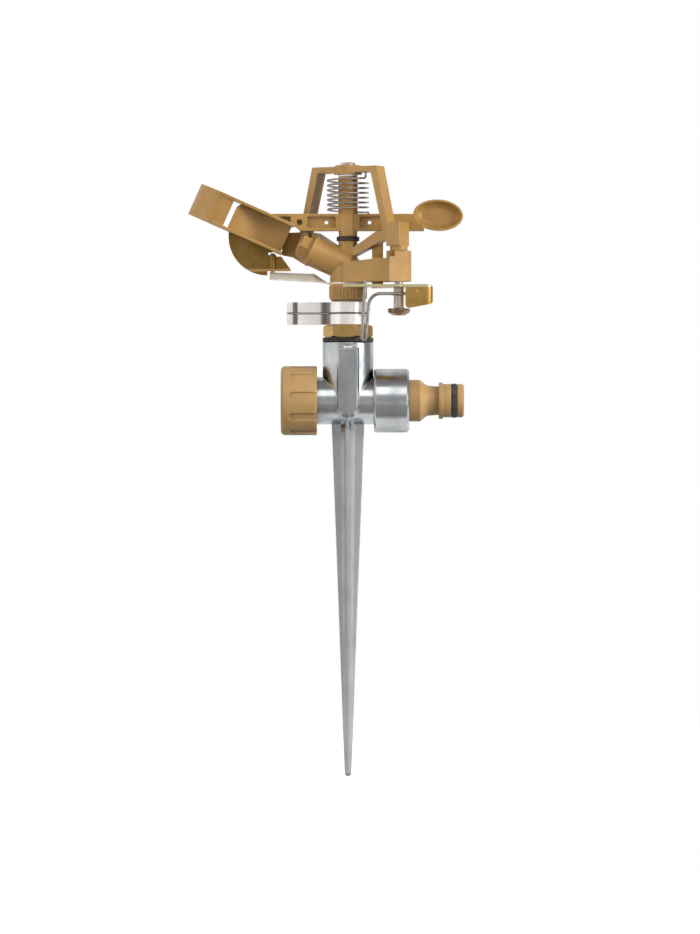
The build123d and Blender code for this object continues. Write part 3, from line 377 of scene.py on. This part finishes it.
def collar_steel():
    """Polished spring steel of the collars: pale, with painted shade where the hem is folded and where the
    tab leaves the ring, and a painted shadow line where the two collars meet."""
    finish = Finish("collar_steel", Metallic=0.48)
    lines = finish.tool_lines((9.0, 9.0, 0.5))
    tarnish = finish.grain(0.006, 4.0)
    along, _, up = finish.axes(finish.place)
    # Painted shade at the hem's fold and where the tab leaves the ring, and a painted shadow line where the
    # collars meet.
    fold_shade = finish.band(along, COLLAR_FOLD_X, 0.0009, 0.0016)
    root_shade = finish.band(along, COLLAR_ROOT_X, 0.001, 0.0034)
    rub = finish.band(up, COLLAR_GAP_Z, 0.0003, 0.0006)
    colour = finish.tint(tarnish, (0.3, screen(236, 230, 226)), (0.7, screen(250, 246, 242)))
    colour = finish.mix(root_shade, colour, screen(122, 112, 106))
    colour = finish.mix(fold_shade, colour, screen(112, 108, 106))
    finish.colour(finish.mix(rub, colour, screen(84, 74, 68)))
    finish.rough(finish.span(lines, 0.16, 0.24))
    finish.relief(0.00006, (lines, LINE_DEPTH))
    return finish.material


def zinc_plated():
    """Dull zinc plating on strip steel: pale, nearly matt, with faint spangle, grey handling marks and
    painted shade in the corners.
    """
    finish = Finish("zinc_plated_strip", Metallic=0.2)
    spangle = finish.grain(0.0022, 2.0, (2.0, 1.0, 1.0))
    marks = finish.grain(0.007, 4.0)
    colour = finish.tint(marks, (0.3, screen(206, 197, 180)), (0.65, screen(232, 224, 210)))
    finish.colour(finish.mix(finish.corner_shade(0.002, 0.6, 0.6), colour, screen(86, 74, 56)))
    finish.rough(finish.span(spangle, 0.42, 0.56))
    finish.relief(0.0002, (spangle, 0.000004))
    return finish.material


def tarnished_pin():
    """Steel pin with a bright shank and a foot that water and soil have turned brown."""
    finish = Finish("tarnished_pin", Metallic=1.0)
    lines = finish.tool_lines((5.0, 5.0, 1.0))
    cloud = finish.grain(0.003, 4.0)
    bright = finish.tint(cloud, (0.3, screen(206, 196, 184)), (0.7, screen(234, 226, 214)))
    brown = finish.tint(cloud, (0.3, screen(150, 118, 96)), (0.7, screen(188, 158, 136)))
    foot = finish.span(finish.axes(finish.place)["Z"], 1.0, 0.0, *PIN_FOOT)
    finish.colour(finish.mix(foot, bright, brown))
    finish.rough(finish.span(lines, 0.24, 0.32))
    finish.relief(0.0003, (lines, LINE_DEPTH))
    return finish.material


def passivated_steel(name, olive, gold, pink, edge_z, pale):
    """Yellow passivated sheet steel: golden, with faint olive and pink clouds and painted shade in the
    corners, and a painted highlight in the colour pale along the upright edge of the plate at the height
    edge_z."""
    finish = Finish(name, Metallic=1.0)
    clouds = finish.grain(0.007, 3.0)
    lines = finish.tool_lines((8.0, 1.0, 1.0))
    colour = finish.tint(clouds, (0.28, olive), (0.5, gold), (0.72, pink))
    colour = finish.mix(finish.corner_shade(0.003, 0.6), colour, screen(82, 62, 28))
    edge = finish.band(finish.axes(finish.place)["Z"], edge_z, 0.0006, 0.0008)
    # Painted highlight: a pale band on upright faces at the height edge_z.
    edge_highlight = finish.math("MULTIPLY", edge, finish.upright())
    finish.colour(finish.mix(edge_highlight, colour, pale))
    finish.rough(finish.span(clouds, 0.36, 0.28))
    finish.relief(0.0003, (lines, LINE_DEPTH))
    return finish.material


def rubber():
    """Black moulded rubber with a fine matt skin and a pale bloom."""
    finish = Finish("black_rubber", Specular_IOR_Level=0.35)
    skin = finish.grain(0.0005, 3.0)
    bloom = finish.grain(0.004, 4.0)
    finish.colour(finish.tint(bloom, (0.35, screen(34, 31, 29)), (0.75, screen(74, 67, 60))))
    finish.rough(finish.span(skin, 0.5, 0.75))
    finish.relief(0.0003, (skin, 0.00003))
    return finish.material


def slip_plastic():
    """White low-friction plastic, slightly waxy."""
    finish = Finish("white_slip_plastic", Specular_IOR_Level=0.4)
    cloud = finish.grain(0.004, 3.0)
    skin = finish.grain(0.0007, 2.0)
    finish.colour(finish.tint(cloud, (0.3, screen(226, 224, 216)), (0.7, screen(240, 239, 234))))
    finish.rough(finish.span(cloud, 0.36, 0.5))
    finish.relief(0.0003, (skin, 0.00002))
    return finish.material


def dress():
    """Every CAD node gets its finish; the springs' wire is handed on."""
    gold = moulded("gold_plastic", body=screen(165, 127, 70), shade=screen(146, 110, 57),
                   worn=screen(212, 180, 130), roughness=0.34, edge=0.0005, shine=0.6, flake=0.12)
    tan = moulded("tan_plastic", body=screen(165, 133, 88), shade=screen(152, 121, 78),
                  worn=screen(204, 176, 130), roughness=0.42, edge=0.0006, shine=0.34, flake=0.0)
    zinc = cast_zinc()
    brass = machined("turned_brass", bright=screen(230, 190, 122), dull=screen(204, 162, 96),
                     roughness=0.36, stretch=(6.0, 6.0, 0.6))
    collar = collar_steel()
    plated = machined("plated_steel", bright=screen(232, 222, 206), dull=screen(206, 194, 174),
                      roughness=0.34, stretch=(5.0, 5.0, 1.0))
    wire = machined("spring_wire", bright=screen(196, 187, 183), dull=screen(160, 151, 147),
                    roughness=0.26, stretch=(4.0, 4.0, 0.6), edge=0.0001)
    # Each sheet's pale colour is a painted highlight along its upright edge.
    sheet = passivated_steel("gold_sheet", olive=screen(184, 154, 86), gold=screen(216, 170, 94),
                             pink=screen(226, 180, 132), edge_z=LEVER_EDGE_Z, pale=screen(250, 236, 190))
    # The flap's sheet is a darker copy of the lever's gold sheet: its colours hold painted shade.
    olive = passivated_steel("shaded_flap_sheet", olive=screen(140, 114, 56), gold=screen(166, 130, 66),
                             pink=screen(176, 140, 92), edge_z=FLAP_LIP_Z, pale=screen(226, 176, 112))
    black = rubber()
    white = slip_plastic()
    finishes = {
        "spike_casting": zinc,
        "end_cap": tan,
        "inlet_connector": tan,
        "end_cap_washer": black,
        "connector_washer": black,
        "connector_seal": black,
        "riser_washer": black,
        "seal_washer": black,
        "arm_washer": black,
        "bearing_nipple": brass,
        "rotating_spindle": brass,
        "slip_washer": white,
        "spring_seat": white,
        "top_washer": white,
        "arm_bush": white,
        "lower_collar": collar,
        "upper_collar": collar,
        "bearing_skirt": gold,
        "head_body": gold,
        "nozzle": gold,
        "drive_arm": gold,
        "pivot_washer": gold,
        "fulcrum_pin": plated,
        "trip_bush": plated,
        "trip_pin": tarnished_pin(),
        "trip_wire": wire,
        "arm_spring": wire,
        "bearing_spring": wire,
        "trip_lever": sheet,
        "deflector_pin": sheet,
        "deflector_flap": olive,
        "deflector_strip": zinc_plated(),
    }
    for name, node in nodes.items():
        for slot in node.material_slots:
            slot.material = finishes[name]
    return wire


def grid_faces(rows, columns):
    """Quads between neighbouring rows of points, each row closed on itself."""
    row = np.arange(rows - 1)[:, None]
    column = np.arange(columns)[None, :]
    beside = (column + 1) % columns
    corners = (row * columns + column, row * columns + beside,
               (row + 1) * columns + beside, (row + 1) * columns + column)
    return np.stack(np.broadcast_arrays(*corners), axis=-1).reshape(-1, 4)


def wire_mesh(name, path, outward, radius, sides):
    """Round wire: at each path point a circle of the wire's radius, in the plane of two directions
    square to the path, the one away from the coil's axis and its cross product with the path's way."""
    way = np.gradient(path, axis=0)
    way /= np.linalg.norm(way, axis=1, keepdims=True)
    first = outward - (outward * way).sum(axis=1, keepdims=True) * way
    first /= np.linalg.norm(first, axis=1, keepdims=True)
    second = np.cross(way, first)
    angle = np.linspace(0.0, 2.0 * np.pi, sides, endpoint=False)
    ring = (np.cos(angle)[None, :, None] * first[:, None, :]
            + np.sin(angle)[None, :, None] * second[:, None, :])
    points = path[:, None, :] + radius * ring
    faces = grid_faces(len(path), sides).tolist()
    last = (len(path) - 1) * sides
    faces.append(list(range(sides - 1, -1, -1)))
    faces.append(list(range(last, last + sides)))
    mesh = bpy.data.meshes.new(name)
    mesh.from_pydata(points.reshape(-1, 3).tolist(), [], faces)
    mesh.shade_smooth()
    piece = bpy.data.objects.new(name, mesh)
    bpy.context.scene.collection.objects.link(piece)
    return piece


def coil_path(radius, low, top, turns, start, steps):
    """A right-hand helix: the angle runs evenly from start while the height runs from low to top."""
    share = np.linspace(0.0, 1.0, steps)
    angle = math.radians(start) + 2.0 * np.pi * turns * share
    outward = np.stack([np.cos(angle), np.sin(angle), np.zeros_like(angle)], axis=1)
    height = np.array([0.0, 0.0, 1.0]) * (low + (top - low) * share)[:, None]
    return radius * outward + height, outward


def leg_path(corner, outward, way, rise, end_z):
    """A leg of the spring: a quarter circle from the coil's way to the vertical, then a straight run.
    It starts at the coil's end, and rise is 1 for a leg that goes up and -1 for one that goes down."""
    turn = np.linspace(0.0, np.pi / 2.0, LEG_BEND_STEPS + 1)[1:, None]
    up = np.array([0.0, 0.0, rise])
    bend = corner + LEG_BEND_R * (np.sin(turn) * way + (1.0 - np.cos(turn)) * up)
    share = np.linspace(0.0, 1.0, LEG_RUN_STEPS + 1)[1:, None]
    run = share * np.array([0.0, 0.0, end_z - bend[-1, 2]])
    path = np.concatenate([bend, bend[-1] + run])
    return path, np.repeat(outward[None, :], len(path), axis=0)


def torsion_spring(material):
    """The arm's return spring: a coil with a leg down into the arm and a leg up into the bridge."""
    coil, outward = coil_path(COIL_R, COIL_LOW, COIL_TOP, COIL_TURNS, COIL_START, COIL_STEPS)
    start_way = np.array([outward[0, 1], -outward[0, 0], 0.0])
    end_way = np.array([-outward[-1, 1], outward[-1, 0], 0.0])
    low, low_out = leg_path(coil[0], outward[0], start_way, -1.0, LOW_LEG_END)
    high, high_out = leg_path(coil[-1], outward[-1], end_way, 1.0, HIGH_LEG_END)
    path = np.concatenate([low[::-1], coil, high])
    out = np.concatenate([low_out[::-1], outward, high_out])
    piece = wire_mesh("arm_return_spring", path, out, COIL_WIRE_R, COIL_WIRE_SIDES)
    piece.data.materials.append(material)
    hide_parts("arm_spring")
    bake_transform(piece)


def skirt_spring(material):
    """The compression spring inside the bearing skirt."""
    path, outward = coil_path(BEARING_COIL_R, BEARING_COIL_LOW, BEARING_COIL_TOP, BEARING_COIL_TURNS,
                              start=0.0, steps=BEARING_COIL_STEPS)
    piece = wire_mesh("skirt_bearing_spring", path, outward, BEARING_WIRE_R, BEARING_WIRE_SIDES)
    piece.data.materials.append(material)
    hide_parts("bearing_spring")
    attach(piece, "head")


def white_paper():
    """White paper. Near the object part of its light is its own and part comes from the lamps, so that it
    keeps a soft shadow; farther out it is plain white. In reflections it is as bright as FLOOR_LEVELS
    say. Other surfaces are lit by it as by grey paper."""
    material = bpy.data.materials.new("white_paper")
    material.use_nodes = True
    paper = Graph(material.node_tree)
    paper.tree.nodes.clear()
    rays = paper.add("ShaderNodeLightPath").outputs
    place = paper.add("ShaderNodeTexCoord").outputs["Object"]
    distance = paper.add("ShaderNodeVectorMath", operation="DISTANCE")
    paper.feed(distance, 0, place)
    paper.feed(distance, 1, (0.0, 0.0, FLOOR_Z))
    far = paper.span(distance.outputs["Value"], 0.0, 1.0, *SHADOW_REACH)
    near = paper.add("ShaderNodeAddShader")
    paper.feed(near, 0, paper.plain("ShaderNodeBsdfDiffuse", PAPER_LIT))
    paper.feed(near, 1, paper.plain("ShaderNodeEmission", PAPER_SHINE))
    white = paper.layer(far, near.outputs[0], paper.plain("ShaderNodeEmission", 1.0))
    floor_level = paper.level(paper.axes(place)["Y"], FLOOR_LEVELS)
    mirrored = paper.math("MULTIPLY", rays["Is Glossy Ray"], floor_level)
    seen = paper.math("MAXIMUM", rays["Is Camera Ray"], mirrored)
    seen = paper.math("MAXIMUM", seen, rays["Is Transmission Ray"])
    surface = paper.layer(seen, paper.plain("ShaderNodeBsdfDiffuse", PAPER_BOUNCE), white)
    paper.feed(paper.add("ShaderNodeOutputMaterial"), "Surface", surface)
    return material


def paper_sweep():
    """Floor and wall in one sheet: a straight run, a quarter circle and an upright, carried across."""
    turn = np.linspace(0.0, np.pi / 2.0, WALL_BEND_STEPS + 1)
    wall = FLOOR_BACK + WALL_BEND_R
    along = np.concatenate([[FLOOR_FRONT], FLOOR_BACK + WALL_BEND_R * np.sin(turn), [wall]])
    up = np.concatenate([[0.0], WALL_BEND_R * (1.0 - np.cos(turn)), [WALL_TOP]]) + FLOOR_Z
    across = np.array([-FLOOR_HALF_WIDTH, FLOOR_HALF_WIDTH])
    points = np.stack([np.tile(across, len(along)), np.repeat(along, 2), np.repeat(up, 2)], axis=1)
    first = 2 * np.arange(len(along) - 1)
    faces = np.stack([first, first + 1, first + 3, first + 2], axis=1)
    mesh = bpy.data.meshes.new("paper_sweep")
    mesh.from_pydata(points.tolist(), [], faces.tolist())
    mesh.shade_smooth()
    sweep = bpy.data.objects.new("paper_sweep", mesh)
    bpy.context.scene.collection.objects.link(sweep)
    mesh.materials.append(white_paper())


def room():
    """White where the camera sees it; in reflections as bright as ROOM_LEVELS and ROOM_RISE say; and an
    even glow for everything else."""
    world = bpy.data.worlds.new("studio")
    bpy.context.scene.world = world
    world.use_nodes = True
    light = Graph(world.node_tree)
    rays = light.add("ShaderNodeLightPath").outputs
    way = light.axes(light.add("ShaderNodeTexCoord").outputs["Generated"])
    bearing = light.math("ARCTAN2", way["X"], light.math("MULTIPLY", way["Y"], -1.0))
    around = light.level(bearing, [(math.radians(angle), level) for angle, level in ROOM_LEVELS])
    upward = light.level(way["Z"], ROOM_RISE)
    mirrored = light.math("MULTIPLY", around, upward)
    hidden = light.pick(rays["Is Glossy Ray"], ROOM_GLOW, mirrored)
    seen = light.math("MAXIMUM", rays["Is Camera Ray"], rays["Is Transmission Ray"])
    background = light.tree.nodes["Background"]
    light.feed(background, "Color", grey(1.0))
    light.feed(background, "Strength", light.pick(seen, hidden, 1.0))


def soft_box(name, place, side, watts, mirrored):
    """A square lamp that faces LAMP_AIM; mirrored says whether shiny surfaces show it."""
    lamp = bpy.data.lights.new(name, "AREA")
    lamp.size = side
    lamp.energy = watts
    box = bpy.data.objects.new(name, lamp)
    bpy.context.scene.collection.objects.link(box)
    way = Vector(LAMP_AIM) - Vector(place)
    box.location = place
    box.rotation_euler = way.to_track_quat("-Z", "Y").to_euler()
    box.visible_glossy = mirrored


def front_camera():
    """A camera in front of VIEW_CENTRE that looks level along +Y."""
    camera = bpy.data.cameras.new("camera")
    camera.sensor_width = SENSOR_MM
    camera.lens = SENSOR_MM * CAMERA_DISTANCE / IMAGE_HEIGHT
    camera.clip_end = CAMERA_REACH
    stand = bpy.data.objects.new("camera", camera)
    bpy.context.scene.collection.objects.link(stand)
    stand.location = (VIEW_CENTRE[0], VIEW_CENTRE[1] - CAMERA_DISTANCE, VIEW_CENTRE[2])
    stand.rotation_euler = (math.pi / 2.0, 0.0, 0.0)
    bpy.context.scene.camera = stand


def studio():
    """Camera, paper, room and lamps."""
    front_camera()
    paper_sweep()
    room()
    for lamp in LAMPS:
        soft_box(*lamp)
    bpy.context.scene.view_settings.view_transform = "Standard"


spring_wire = dress()
torsion_spring(spring_wire)
skirt_spring(spring_wire)
studio()
